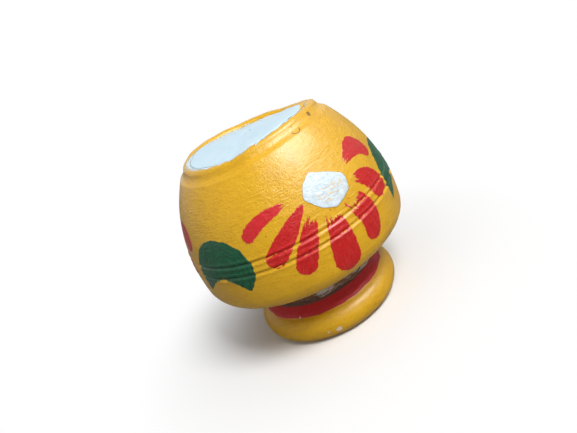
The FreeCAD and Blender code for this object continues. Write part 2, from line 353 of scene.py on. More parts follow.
def paint_foot():
    """Yellow with a red band round the neck, a dark brown strip above the band that is painted shade
    under the pot, and a few chips, over bare clay.
    """
    finish = Finish("painted_foot")
    clay, clay_relief = bare_clay(finish)
    yellow, paint_relief = yellow_paint(finish)
    outside = finish.kept("painted")
    ragged = finish.sum("MULTIPLY_ADD", finish.noise(0.9, detail=4.0), 1.0, -0.5)
    cover = finish.between(finish.sum("ADD", outside, ragged), 0.40, 0.55)
    level = finish.add("ShaderNodeSeparateXYZ", i0=finish.place).outputs["Z"]
    brushed = finish.noise(0.22, detail=3.0, rough=0.5)
    edge = finish.sum("MULTIPLY_ADD", brushed, 0.8, level)
    band = finish.between(edge, 8.85, 9.2)
    painted_shade_above_band = finish.between(edge, 12.45, 12.75)
    streak = finish.noise(3.2, finish.stretch(0.1, 0.1, 1.0), detail=3.0)
    red = finish.mix(finish.between(streak, 0.5, 0.8), colour(190, 12, 12), RED)
    tone = finish.mix(band, yellow, red)
    chips = finish.kept("chips")
    chipped = finish.between(finish.sum("MULTIPLY_ADD", ragged, 0.5, chips), 0.45, 0.55)
    tone = finish.mix(chipped, tone, colour(236, 214, 188))
    # Above the red band the neck is dark brown: painted shade of the gap under the pot.
    tone = finish.mix(painted_shade_above_band, tone, colour(92, 58, 40))
    tone = finish.mix(cover, clay, tone)
    relief = finish.sum("MULTIPLY_ADD", band, 0.05, paint_relief)
    relief = finish.sum("MULTIPLY_ADD", chipped, -0.10, relief)
    relief = finish.sum("ADD", relief, finish.sum("MULTIPLY", clay_relief, 0.5))
    rough = finish.sum("MULTIPLY_ADD", cover, -0.42, 0.78)
    finish.surface(tone, rough, relief, Specular_IOR_Level=0.22, Coat_Weight=0.13, Coat_Roughness=0.24)
    return finish.material


# The rim is a round bead that is rubbed flat where it stands, and the neck narrows upwards from it.
bead = 4.5
bead_centre = (foot_radius - bead, bead - 0.15)
stand_half = math.sqrt(bead**2 - bead_centre[1] ** 2)
neck_low = foot_radius - 3.1
neck_high = neck_low - 1.2
bead_top = math.degrees(math.acos((neck_low + 0.25 - bead_centre[0]) / bead))
bead_foot = -math.degrees(math.atan2(bead_centre[1], stand_half))
bead_leave = (
    bead_centre[0] + bead * math.cos(math.radians(bead_top)),
    bead_centre[1] + bead * math.sin(math.radians(bead_top)),
)
ceiling = foot_height - 4.0
bore = foot_radius - 6.1
hollow_top = neck_high - 4.0
foot_profile = [
    *run_line((0.0, ceiling), (hollow_top - 2.0, ceiling), 0.8),
    *run_arc((hollow_top - 2.0, ceiling - 2.0), 2.0, 90, 10, 0.35),
    *run_line((hollow_top, ceiling - 2.3), (bore - 0.1, 0.6), 0.5),
    *run_arc((bore + 0.6, 0.6), 0.6, 180, 270, 0.2),
    *run_line((bore + 0.6, 0.0), (bead_centre[0] + stand_half, 0.0), 0.3),
    *run_arc(bead_centre, bead, bead_foot, bead_top, 0.25),
    *run_arc((bead_leave[0] + 0.9, bead_leave[1] + 0.75), 1.1, 222, 185, 0.2),
    *run_line((neck_low - 0.25, bead_leave[1] + 0.9), (neck_high + 0.2, foot_height - 0.6), 0.35),
    *run_arc((neck_high - 0.5, foot_height - 0.6), 0.6, 0, 90, 0.25),
    *run_line((neck_high - 0.5, foot_height), (0.0, foot_height), 0.8),
    (0.0, foot_height),
]
foot = throw_clay("foot_dish", foot_profile, paint_foot(), 300, 0.5, 0.05, 3.0)


foot_shift = (-0.37, 0.14)
foot_egg = 0.006
foot_chips = ((-27, 3.5, 0.8), (-35, 3.8, 0.4), (-55, 8.8, 0.3), (95, 2.9, 0.9))  # azimuth, level, size


def shape_foot():
    """Hand-thrown unevenness, and where the paint, its chips and the bare clay are."""
    points = get_points(foot)
    azimuth = azimuth_of(points)
    radius = np.hypot(points[:, 0], points[:, 1])
    above = smooth_step(points[:, 2], 0.2, 3.0)
    egg = 1.0 + above * foot_egg * np.cos(np.radians(2 * azimuth + 40))
    points[:, :2] *= egg[:, None]
    points[:, :2] += foot_shift
    points[:, 2] = np.maximum(points[:, 2], 0.0)
    set_points(foot, points)
    inner_edge = bore + 1.2
    painted = np.where(points[:, 2] > 5.0, (radius - hollow_top) / 3.0, (radius - inner_edge) / 3.0)
    store(foot, "painted", np.clip(painted + 0.4 * smooth_step(points[:, 2], 0.0, 0.8), 0.0, 1.6))
    chips = np.zeros(len(points))
    for where, level, size in foot_chips:
        arc = np.radians((azimuth - where + 180) % 360 - 180) * foot_radius
        away = np.hypot(arc, (points[:, 2] - level) * 1.2)
        chips = np.maximum(chips, np.clip(1.2 - away / size * 0.6, 0.0, 1.0) * (away < 2 * size))
    store(foot, "chips", chips)


shape_foot()
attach(foot, "lamp")
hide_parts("foot")


# ---- Glue ----------------------------------------------------------------------------------------
# Clear hot glue between the foot and the pot. It fills the gap at the foot's edge unevenly, with
# glossy lumps at the front and a cloudy squeeze-out on one side.

pot_low, pot_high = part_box("pot")
glue_bore = 8.0
pot_base = pot_low[2] / MM
base_radius = 13.0
underside_slope = 0.396
glue_bite = 0.15
squeeze_side = 36
front_lump = -28


def underside_at(radius):
    """The level of the pot's underside at this radius."""
    return pot_base + underside_slope * np.maximum(radius - base_radius, 0.0)


def paint_glue():
    """Clear glue coloured brownish as painted shade of the gap under the pot. Its whitish streaks are
    partly milky glue, gathered where it was squeezed out, and partly painted glints.
    """
    finish = Finish("set_glue")
    streak = finish.noise(0.7, finish.stretch(0.5, 0.5, 1.4), detail=4.0, rough=0.6)
    milky_and_glints = finish.sum("MULTIPLY_ADD", finish.kept("cloudy_and_glints"), 0.30, streak)
    # Brown is painted shade of the gap; the whitish streaks are partly milky glue and partly painted
    # glints.
    tone = finish.mix(finish.between(milky_and_glints, 0.54, 0.74), colour(122, 92, 68), colour(222, 216, 208))
    rough = finish.sum("MULTIPLY_ADD", finish.noise(0.5), 0.16, 0.06)
    relief = finish.sum("MULTIPLY", finish.noise(1.3, detail=3.0), 0.6)
    finish.surface(tone, rough, relief, Transmission_Weight=0.25, IOR=1.48)
    return finish.material


glue_spread = 3.4
glue_in = (neck_high - 0.3, foot_height - 0.25)
glue_out = (neck_high + glue_spread, float(underside_at(neck_high + glue_spread)) + glue_bite)
glue_profile = [
    *run_line((glue_bore, foot_height - 0.05), glue_in, 1.2),
    *run_line(glue_in, glue_out, 0.16),
    *run_line(glue_out, (base_radius, pot_base + glue_bite), 0.9),
    *run_line((base_radius, pot_base + glue_bite), (glue_bore, pot_base + glue_bite), 1.0),
    *run_line((glue_bore, pot_base + glue_bite), (glue_bore, foot_height - 0.05), 0.2),
    (glue_bore, foot_height - 0.05),
]
glue = throw_clay("glue_bead", glue_profile, paint_glue(), 300, 0.0, 0.1, 0.0)


def bump_at(azimuth, middle, width):
    """A smooth bump round the lamp, 1 at its middle azimuth."""
    away = (azimuth - middle + 180) % 360 - 180
    return np.exp(-((away / width) ** 2))


def ripple(azimuth, waves):
    """An uneven line round the lamp: the sum of (turns, strength, phase in degrees) waves."""
    return sum(size * np.cos(np.radians(turns * azimuth + phase)) for turns, size, phase in waves)


def squeeze_glue():
    """Swells and thins the bead round the lamp, and pushes it out where it was pressed hard."""
    points = get_points(glue)
    azimuth = azimuth_of(points)
    radius = np.hypot(points[:, 0], points[:, 1])
    share = np.clip((points[:, 2] - glue_in[1]) / (glue_out[1] - glue_in[1]), 0.0, 1.0)
    face = radius > neck_high - 0.35
    uneven = ripple(azimuth, ((3, 0.35, 20), (7, 0.3, 130), (13, 0.22, 250), (23, 0.15, 80)))
    start_radius = neck_high + 0.25
    start_level = foot_height - 1.5 + 0.5 * uneven
    squeezed = bump_at(azimuth, squeeze_side, 26)
    spread = 2.1 + 0.8 * uneven + 1.5 * squeezed + 0.7 * bump_at(azimuth, front_lump, 7)
    swell = 0.45 + 0.4 * ripple(azimuth, ((5, 0.5, 60), (17, 0.5, 10), (29, 0.35, 200)))
    swell = np.clip(swell + 0.6 * squeezed + 0.6 * bump_at(azimuth, front_lump, 8), 0.1, 1.3)
    outer = neck_high + spread
    top = underside_at(outer) + glue_bite
    bow = swell * np.sin(math.pi * share) ** 0.8
    new_radius = start_radius + share * (outer - start_radius) + 0.9 * bow
    new_level = start_level + share * (top - start_level) - 0.5 * bow
    scale = np.where(face, new_radius / radius, 1.0)
    points[:, :2] *= scale[:, None]
    points[:, 2] = np.where(face, new_level, points[:, 2])
    roof = np.hypot(points[:, 0], points[:, 1])
    points[:, 2] = np.minimum(points[:, 2], underside_at(roof) + glue_bite)
    set_points(glue, points)
    # Whitish where the glue was squeezed out, and as a painted glint on a lump at the front.
    store(glue, "cloudy_and_glints", squeezed + 0.7 * bump_at(azimuth, -24, 9))


squeeze_glue()
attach(glue, "lamp")
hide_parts("glue_ring")


# ---- Pot -----------------------------------------------------------------------------------------
# A small water-pot shape thrown in red clay, with a short uneven collar and two turned grooves. It is
# brushed glossy yellow, white inside the mouth, and has three flowers with leaves between them.

belly_radius = pot_high[0] / MM
rim_level = pot_high[2] / MM
belly_level = 29.5
hip_level = 22.0
hip_round = 5.0
wall = 3.6
collar_radius = 20.8
lip_width = 3.4
lip_round = 1.5
crease_level = rim_level - 2.0
shoulder = (collar_radius + 2.0, crease_level - 1.1)
bowl_floor = 4.6
groove_levels = (36.7, 33.5)
groove_deep = 0.34
groove_wide = 0.34
ridge_away = 0.8
ridge_wide = 0.40

shoulder_in = belly_radius - shoulder[0]
shoulder_up = shoulder[1] - belly_level
belly_arc = (shoulder_in**2 + shoulder_up**2) / (2 * shoulder_in)
belly_middle = belly_radius - belly_arc
mouth_radius = collar_radius - lip_width


def belly_at(level, inset=0.0):
    """The belly's radius at this level, or its inside for an inset of one wall."""
    return belly_middle + math.sqrt((belly_arc - inset) ** 2 - (level - belly_level) ** 2)


def grooved(level):
    """The belly's radius with its two grooves and the clay that the tool raised beside them."""
    radius = belly_at(level)
    for groove in groove_levels:
        away = level - groove
        radius -= groove_deep * math.exp(-((away / groove_wide) ** 2))
        radius += 0.15 * math.exp(-(((away - ridge_away) / ridge_wide) ** 2))
        radius += 0.12 * math.exp(-(((away + ridge_away) / ridge_wide) ** 2))
    return radius


def rounded_corner(before, corner, after, radius, step):
    """A profile corner rounded by an arc that touches both of its straight sides."""
    first = Vector(before) - Vector(corner)
    second = Vector(after) - Vector(corner)
    half = first.angle(second) / 2
    inward = (first.normalized() + second.normalized()).normalized()
    centre = Vector(corner) + inward * radius / math.sin(half)
    start = Vector(corner) + first.normalized() * radius / math.tan(half)
    end = Vector(corner) + second.normalized() * radius / math.tan(half)
    first_angle = math.degrees(math.atan2(*(start - centre).yx))
    last_angle = math.degrees(math.atan2(*(end - centre).yx))
    turn = (last_angle - first_angle + 180) % 360 - 180
    return run_arc(tuple(centre), radius, first_angle, first_angle + turn, step), tuple(end)


hip = (belly_at(hip_level), hip_level)
above_hip = (belly_at(hip_level + 5), hip_level + 5)
hip_arc, hip_end = rounded_corner((base_radius, pot_base), hip, above_hip, hip_round, 0.35)
floor_level = pot_base + bowl_floor
bowl_hip = (belly_at(hip_level + 3.4, wall), hip_level + 3.4)
above_bowl_hip = (belly_at(hip_level + 9, wall), hip_level + 9)
bowl_arc, bowl_end = rounded_corner(
    above_bowl_hip, bowl_hip, (base_radius, floor_level), 4.0, 0.6
)
belly_levels = np.arange(hip_end[1], shoulder[1] - 0.2, 0.28)
neck_level = belly_level + math.sqrt((belly_arc - wall) ** 2 - (mouth_radius - belly_middle) ** 2)
inner_levels = np.arange(neck_level - 1.2, bowl_arc[0][1] + 0.4, -0.8)
lip_outside = (collar_radius - lip_round, rim_level - lip_round)
lip_inside = (mouth_radius + lip_round, rim_level - lip_round)
pot_profile = [
    *run_line((0.0, pot_base), (base_radius - 0.4, pot_base), 1.0),
    *run_line((base_radius, pot_base + 0.1), hip_arc[0], 0.6),
    *hip_arc,
    *[(grooved(level), level) for level in belly_levels],
    *run_line(shoulder, (collar_radius + 1.2, crease_level - 0.62), 0.3),
    (collar_radius + 0.75, crease_level - 0.30),
    (collar_radius + 0.42, crease_level + 0.05),
    (collar_radius + 0.20, crease_level + 0.45),
    *run_arc(lip_outside, lip_round, 14, 90, 0.2),
    *run_arc(lip_inside, lip_round, 90, 180, 0.2),
    *run_line((mouth_radius, rim_level - lip_round), (mouth_radius, neck_level), 0.35),
    *run_line((mouth_radius, neck_level), (belly_at(inner_levels[0], wall), inner_levels[0]), 0.4),
    *[(belly_at(level, wall), level) for level in inner_levels],
    *bowl_arc,
    *run_line(bowl_end, (base_radius, floor_level), 0.9),
    *run_line((base_radius, floor_level), (0.0, floor_level), 1.1),
    (0.0, floor_level),
]

# A flower is painted round its white middle: each petal is one stroke of a round brush, pulled inwards
# until the brush runs dry. Stroke: start, bend and end (mm right and up from the middle), then its
# half-width at each of them, then how dry it ends and how pink it is made: partly pinker paint, and
# partly painted sheen, most of it on the first petal.
flower_level = 45.0
petals = [
    ((-23.5, -1.9), (-19.5, 1.2), (-11.9, 1.4), (1.9, 2.2, 0.6), 0.75, 0.9),
    ((-19.3, -9.5), (-13.3, -4.4), (-7.6, -0.8), (2.4, 2.7, 0.5), 0.55, 0.1),
    ((-13.2, -14.1), (-10.6, -9.2), (-7.0, -4.4), (2.8, 2.8, 1.4), 0.9, 0.0),
    ((-3.4, -17.9), (-2.4, -12.0), (-2.0, -6.7), (3.4, 3.6, 2.1), 0.95, 0.0),
    ((6.3, -16.5), (8.6, -11.6), (5.0, -6.9), (2.7, 3.7, 2.7), 0.95, 0.0),
    ((15.3, -8.4), (14.6, -4.6), (9.2, -3.0), (3.3, 3.6, 1.2), 0.9, 0.0),
    ((20.6, 0.2), (18.2, 4.6), (10.3, 1.4), (2.7, 3.2, 0.6), 0.8, 0.2),
]
dot_corners = [
    (-1.3, 3.2), (2.8, 1.4), (5.8, -0.6), (4.9, -2.6),
    (0.5, -4.0), (-2.3, -2.6), (-4.8, 0.4), (-3.6, 2.1),
]
DOT_ROUND = 1.4
# A leaf hangs between two flowers. Its two strokes only give the run of the brush; its edge is a dome
# with a notch cut into it from below, in mm right and up from the leaf's middle and the flower's level.
leaf_middle = -35.7
leaves = [
    ((-0.8, -3.4), (9.3, -3.6), (6.4, -15.6), (2.7, 6.4, 0.15), 0.12, 0.0),
    ((0.6, -3.4), (-6.4, -3.4), (-9.4, -15.8), (2.7, 5.8, 0.25), 0.5, 0.0),
]
leaf_corners = [
    (0.3, -1.0), (4.6, -1.9), (8.2, -4.6), (9.8, -8.8), (9.2, -12.2), (6.4, -15.6),
    (4.2, -13.8), (1.6, -11.8), (-1.2, -11.2), (-4.0, -12.0), (-6.6, -13.6),
    (-9.4, -15.6), (-9.6, -11.6), (-9.0, -7.2), (-6.6, -3.4), (-3.4, -1.5),
]
LEAF_ROUND = 0.35
flowers = ((0, 0.0), (120, 0.0), (230, -3.0))
STROKE_STEPS = 28
PATTERN_SEED = 11
repeat_slip = 0.55
painted_radius = belly_radius - 1.0


def stroke_field(across, up, stroke):
    """Distance to a stroke's edge, negative inside, with the place across and along it."""
    start, bend, end, halves, dry_end, _ = stroke
    best = np.full(len(across), 99.0)
    side = np.zeros(len(across))
    along = np.zeros(len(across))
    for t in np.linspace(0.0, 1.0, STROKE_STEPS):
        x = (1 - t) ** 2 * start[0] + 2 * t * (1 - t) * bend[0] + t * t * end[0]
        y = (1 - t) ** 2 * start[1] + 2 * t * (1 - t) * bend[1] + t * t * end[1]
        half = (1 - t) ** 2 * halves[0] + 2 * t * (1 - t) * halves[1] + t * t * halves[2]
        heading = np.array((bend[0] - start[0], bend[1] - start[1])) * (1 - t)
        heading += np.array((end[0] - bend[0], end[1] - bend[1])) * t
        heading /= np.linalg.norm(heading)
        gap_x, gap_y = across - x, up - y
        gap = np.hypot(gap_x, gap_y) - half
        nearer = gap < best
        best = np.where(nearer, gap, best)
        side = np.where(nearer, gap_y * heading[0] - gap_x * heading[1], side)
        along = np.where(nearer, t + 0.05 * (gap_x * heading[0] + gap_y * heading[1]), along)
    return best, side, along, smooth_step(along, 0.60, 1.05) * dry_end


def blob_field(across, up, corners):
    """Distance to the edge of a shape with these corners, negative inside."""
    inside = np.zeros(len(across), dtype=bool)
    best = np.full(len(across), 99.0)
    for (x0, y0), (x1, y1) in zip(corners, corners[1:] + corners[:1]):
        side = np.array((x1 - x0, y1 - y0))
        share = ((across - x0) * side[0] + (up - y0) * side[1]) / (side @ side)
        share = np.clip(share, 0.0, 1.0)
        best = np.minimum(best, np.hypot(across - x0 - share * side[0], up - y0 - share * side[1]))
        crosses = (y0 > up) != (y1 > up)
        inside ^= crosses & (across < x0 + (up - y0) * side[0] / (side[1] or 1e-9))
    return np.where(inside, -best, best)


def vary(stroke, draw, reach):
    """The same stroke as the painter repeats it: a little off in place, bend and width."""
    start, bend, end, halves, dry_end, pink_and_sheen = stroke
    moved = [tuple(np.add(point, draw.normal(0, reach, 2))) for point in (start, bend, end)]
    widths = tuple(half * draw.uniform(0.88, 1.12) for half in halves)
    return (*moved, widths, dry_end, pink_and_sheen)


def paint_pattern(points):
    """For every vertex, how far each painted shape's edge is and how the brush ran there."""
    azimuth = azimuth_of(points)
    count = len(points)
    field = {name: np.full(count, 5.0) for name in ("petal", "leaf", "dot")}
    grain = np.zeros((count, 3))
    pink_and_sheen = np.zeros(count)
    middle = np.zeros((count, 3))
    nearest = np.full(count, 9.0)
    draw = np.random.default_rng(PATTERN_SEED)
    for turn, lift in flowers:
        spread = 0.0 if turn == 0 else repeat_slip
        around = (azimuth - turn + 180) % 360 - 180
        across = np.radians(around) * painted_radius
        up = points[:, 2] - flower_level - lift
        middle[np.abs(around) <= 60] = np.column_stack((across, up, up * 0))[np.abs(around) <= 60]
        groups = [("petal", stroke, 0.0) for stroke in petals]
        groups += [("leaf", stroke, leaf_middle) for stroke in leaves]
        for name, stroke, shift in groups:
            stroke = vary(stroke, draw, spread)
            gap, side, along, dry = stroke_field(across - shift, up, stroke)
            closer = gap < nearest
            nearest = np.where(closer, gap, nearest)
            if name == "petal":
                field[name] = np.minimum(field[name], gap)
            grain[closer] = np.column_stack((side, along * 10 + turn, dry))[closer]
            pink_and_sheen = np.where(closer, stroke[5], pink_and_sheen)
        corners = [tuple(np.add(corner, draw.normal(0, spread, 2))) for corner in dot_corners]
        gap = blob_field(across, up, corners) - DOT_ROUND
        field["dot"] = np.minimum(field["dot"], gap)
        gap = blob_field(across - leaf_middle, up, leaf_corners) - LEAF_ROUND
        field["leaf"] = np.minimum(field["leaf"], gap)
    return {name: np.clip(values, -5.0, 5.0) for name, values in field.items()}, grain, pink_and_sheen, middle


def place_at(azimuth, radius, level):
    """A point in millimetres at an azimuth round the lamp."""
    angle = math.radians(azimuth)
    return (radius * math.sin(angle), -radius * math.cos(angle), level)


PIT_PLACE = place_at(31, 21.0, 59.4)
DRIP_PLACE = place_at(9.5, 21.5, 58.6)


def wax_tone(finish):
    """White wax, a little blue, with a few faint cloudy and yellowish streaks."""
    cloud = finish.noise(0.22, finish.stretch(1.0, 0.4, 1.0), detail=5.0, rough=0.6)
    tone = finish.mix(cloud, colour(190, 220, 236), colour(212, 234, 245))
    tinge = finish.between(finish.noise(0.12, detail=4.0), 0.62, 0.74)
    return finish.mix(finish.sum("MULTIPLY", tinge, 0.35), tone, colour(236, 224, 190))


def paint_pot():
    """Everything on the pot's surface, from the yellow ground up to the bare clay of the bowl."""
    finish = Finish("painted_pot")
    clay, clay_relief = bare_clay(finish)
    yellow, relief = yellow_paint(finish)
    ragged = finish.sum("SUBTRACT", finish.noise(1.3, detail=4.0, rough=0.6), 0.5)
    fine = finish.sum("SUBTRACT", finish.noise(4.0, detail=2.0), 0.5)
    unruly = finish.sum("MULTIPLY_ADD", fine, 0.25, finish.sum("MULTIPLY", ragged, 0.9))

    run = finish.stretch(1.0, 0.24, 0.0, finish.kept("grain", "Vector"))
    hairs = finish.noise(1.8, run, detail=3.0, rough=0.6)
    dry = finish.add("ShaderNodeSeparateXYZ", i0=finish.kept("grain", "Vector")).outputs["Z"]
    wet = finish.between(finish.sum("MULTIPLY_ADD", dry, -0.60, hairs), -0.01, 0.05)
    skipped = finish.sum("MULTIPLY", finish.kept("groove"), finish.noise(0.8, detail=3.0))
    filled = finish.between(skipped, 0.58, 0.48)

    red = finish.mix(finish.between(hairs, 0.40, 0.78), RED, RED_THIN)
    red = finish.mix(finish.between(ragged, 0.0, 0.35), red, colour(164, 18, 22))
    # Pinker, lighter red: partly the paint itself, partly painted sheen on the petal that catches the
    # light.
    red = finish.mix(finish.sum("MULTIPLY", finish.kept("pink_and_sheen"), 0.7), red, colour(212, 42, 50))
    petal_gap = finish.sum("ADD", finish.kept("petal"), unruly)
    petal = finish.sum("MULTIPLY", finish.between(petal_gap, 0.08, -0.10), wet)
    petal = finish.sum("MULTIPLY", petal, filled)
    tone = finish.mix(petal, yellow, red)

    green = finish.mix(finish.between(hairs, 0.35, 0.75), colour(4, 68, 42), colour(12, 104, 62))
    leaf_gap = finish.sum("ADD", finish.kept("leaf"), unruly)
    leaf = finish.sum("MULTIPLY", finish.between(leaf_gap, 0.08, -0.10), wet)
    tone = finish.mix(leaf, tone, green)

    dot_gap = finish.sum("MULTIPLY_ADD", unruly, 0.45, finish.kept("dot"))
    dot = finish.between(dot_gap, 0.06, -0.08)
    smear = finish.noise(1.2, finish.stretch(0.42, 1.7, 1.0, finish.kept("middle", "Vector")), detail=4.0)
    worn_here = finish.between(finish.kept("dot"), -0.9, -2.2)
    low = finish.add("ShaderNodeSeparateXYZ", i0=finish.kept("middle", "Vector")).outputs["Y"]
    worn = finish.sum("MULTIPLY", worn_here, finish.between(low, 0.6, -0.6))
    worn = finish.sum("MULTIPLY", worn, finish.between(smear, 0.50, 0.56))
    dot_bare = finish.sum("MULTIPLY", dot, finish.sum("MULTIPLY_ADD", worn, -0.5, 1.0))
    dabs = finish.noise(0.9, detail=3.0)
    white = finish.mix(finish.between(dabs, 0.35, 0.65), colour(200, 218, 228), colour(222, 233, 239))
    tone = finish.mix(dot_bare, tone, white)

    lip_hairs = finish.noise(1.3, finish.stretch(0.6, 0.6, 1.2), detail=5.0, rough=0.72)
    lip_ragged = finish.sum("MULTIPLY_ADD", lip_hairs, 4.6, -2.3)
    mouth_gap = finish.sum("ADD", finish.kept("mouth"), lip_ragged)
    mouth_gap = finish.sum("MULTIPLY_ADD", ragged, 0.8, mouth_gap)
    mouth = finish.between(mouth_gap, -0.08, 0.10)
    tone = finish.mix(mouth, tone, wax_tone(finish))

    around_pit = finish.add("ShaderNodeVectorMath", "DISTANCE", i0=finish.place, i1=PIT_PLACE)
    pit = finish.between(around_pit.outputs["Value"], 0.75, 0.40)
    tone = finish.mix(pit, tone, colour(146, 108, 58))
    around_drip = finish.add("ShaderNodeVectorMath", "DISTANCE", i0=finish.place, i1=DRIP_PLACE)
    ring = finish.sum("ABSOLUTE", finish.sum("SUBTRACT", around_drip.outputs["Value"], 1.25))
    level = finish.add("ShaderNodeSeparateXYZ", i0=finish.place).outputs["Z"]
    drip = finish.between(finish.sum("ADD", ring, finish.sum("MULTIPLY", ragged, 0.3)), 0.20, 0.06)
    drip = finish.sum("MULTIPLY", drip, finish.between(level, DRIP_PLACE[2] + 0.35, DRIP_PLACE[2]))
    tone = finish.mix(finish.sum("MULTIPLY", drip, 0.85), tone, colour(148, 100, 26))

    bare = finish.sum("MULTIPLY_ADD", ragged, 2.0, finish.kept("bare"))
    bare = finish.between(bare, 0.35, 0.65)
    tone = finish.mix(bare, tone, clay)

    relief = finish.sum("MULTIPLY_ADD", petal, 0.05, relief)
    relief = finish.sum("MULTIPLY_ADD", leaf, 0.05, relief)
    relief = finish.sum("MULTIPLY_ADD", dot, finish.sum("MULTIPLY_ADD", dabs, 0.30, 0.06), relief)
    relief = finish.sum("MULTIPLY_ADD", mouth, 0.10, relief)
    relief = finish.sum("MULTIPLY_ADD", pit, -0.45, relief)
    relief = finish.sum("MULTIPLY_ADD", drip, -0.15, relief)
    relief = finish.sum("MULTIPLY_ADD", clay_relief, 0.4, relief)
    rough = finish.sum("MULTIPLY_ADD", finish.noise(0.4), 0.16, 0.22)
    rough = finish.sum("MULTIPLY_ADD", bare, 0.42, rough)
    finish.surface(tone, rough, relief, Specular_IOR_Level=0.22, Coat_Weight=0.13, Coat_Roughness=0.24)
    return finish.material


pot = throw_clay("clay_pot", pot_profile, paint_pot(), 340, 0.55, 0.05, 7.0)


def places_on_profile(points, profile):
    """How far along the profile each vertex lies, in millimetres."""
    line = np.array(profile)
    steps = np.hypot(*np.diff(line, axis=0).T)
    along = np.concatenate(([0.0], np.cumsum(steps)))
    section = np.column_stack((np.hypot(points[:, 0], points[:, 1]), points[:, 2]))
    nearest = np.empty(len(points), dtype=int)
    for start in range(0, len(points), 4000):
        part = section[start:start + 4000]
        gaps = ((part[:, None, :] - line[None, :, :]) ** 2).sum(axis=2)
        nearest[start:start + 4000] = gaps.argmin(axis=1)
    return along[nearest], along, line


back = 165  # the middle azimuth of the lip that stands clear of the wax


def rim_rise(azimuth):
    """How far the hand-thrown rim stands above its mean level."""
    lean = np.radians(azimuth - 69.5)
    rise = -0.9 * np.sin(2 * lean) - 0.6 * np.sin(lean) - 0.1
    return rise + ripple(azimuth, ((5, 0.10, 30), (9, 0.07, 200), (16, 0.05, 80)))


def near_rim(level):
    """How much of the rim's rise is felt at this level."""
    return smooth_step(level, rim_level - 13.0, rim_level - 1.0)


def shape_pot():
    """The uneven rim, the thickness of the dabbed paint, and everything that the finish reads."""
    points = get_points(pot)
    azimuth = azimuth_of(points)
    place, along, line = places_on_profile(points, pot_profile)
    lip_top = along[np.argmax(line[:, 1])] + 0.2
    inward = place - lip_top
    field, grain, pink_and_sheen, middle = paint_pattern(points)
    outside = inward < -2.0

    covered = -0.5 + 0.55 * ripple(azimuth, ((1, 1.0, 30),)) + 1.1 * bump_at(azimuth, -108, 24)
    covered += 0.9 * bump_at(azimuth, -15, 55) - 0.8 * bump_at(azimuth, back, 70)
    points[:, 2] += rim_rise(azimuth) * near_rim(points[:, 2])
    normals = get_normals(pot)
    paint = 0.07 * smooth_step(-field["dot"], -0.15, 0.35) * outside
    points += normals * paint[:, None]
    set_points(pot, points)

    store(pot, "petal", np.where(outside, field["petal"], 5.0))
    store(pot, "leaf", np.where(outside, field["leaf"], 5.0))
    store(pot, "dot", np.where(outside, field["dot"], 5.0))
    store(pot, "grain", grain)
    store(pot, "pink_and_sheen", pink_and_sheen)
    store(pot, "middle", middle)
    groove = sum(np.exp(-(((points[:, 2] - level + 0.15) / 0.45) ** 2)) for level in groove_levels)
    store(pot, "groove", groove * outside)
    store(pot, "mouth", np.clip(inward + covered, -4.0, 4.0))
    deep = smooth_step(points[:, 2], 57.0, 54.0) * (inward > 2.0)
    radius = np.hypot(points[:, 0], points[:, 1])
    under = smooth_step(radius, 17.5, 14.0) * outside * (points[:, 2] < 20.0)
    store(pot, "bare", deep + under)


shape_pot()
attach(pot, "lamp")
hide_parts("pot")


# ---- Wax refill ----------------------------------------------------------------------------------
# A plug of white wax that stands on the bowl's floor and fills the mouth. Its flared top lies just
# inside the lip and follows the uneven rim, except at the back, where it has sunk. It lifts out with
# its wick.

seat_gap = 0.3  # keeps the refill's flat foot clear of the bowl's uneven floor
wax_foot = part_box("wax_refill")[0][2] / MM + seat_gap
wax_level = rim_level - 0.05
lip_gap = 0.05
wax_radius = 17.0
flare_radius = wax_radius + 1.15
wax_bore = 1.15
sunk_depth = 0.9
wax_cone = 4.05


def paint_wax():
    """White wax with the yellow of the lip brushed over its edge."""
    finish = Finish("white_wax")
    brushed = finish.noise(0.9, finish.stretch(1.0, 0.25, 1.0), detail=5.0, rough=0.6)
    ragged = finish.sum("MULTIPLY_ADD", finish.noise(0.9, detail=5.0, rough=0.65), 2.4, -1.2)
    lapped = finish.between(finish.sum("ADD", finish.kept("lap"), ragged), 0.0, 0.15)
    tone = finish.mix(lapped, wax_tone(finish), YELLOW)
    relief = finish.sum("MULTIPLY", brushed, 0.10)
    relief = finish.sum("MULTIPLY_ADD", finish.noise(0.2, detail=2.0), 0.35, relief)
    rough = finish.sum("MULTIPLY_ADD", brushed, 0.15, 0.42)
    finish.surface(tone, rough, relief, Specular_IOR_Level=0.35)
    return finish.material


wax_profile = [
    *run_line((wax_bore, wax_foot), (wax_radius - wax_cone, wax_foot), 1.0),
    *run_line((wax_radius - wax_cone, wax_foot), (wax_radius, wax_foot + wax_cone), 0.8),
    *run_line((wax_radius, wax_foot + wax_cone), (wax_radius, rim_level - lip_round - 0.6), 1.2),
    *run_arc(lip_inside, lip_round + lip_gap, 180, 116, 0.15),
    *run_line((flare_radius, wax_level), (wax_bore, wax_level), 0.5),
    *run_line((wax_bore, wax_level), (wax_bore, wax_foot), 1.2),
    (wax_bore, wax_foot),
]
wax = throw_clay("wax_plug", wax_profile, paint_wax(), 260, 0.10, 0.08, 5.0)


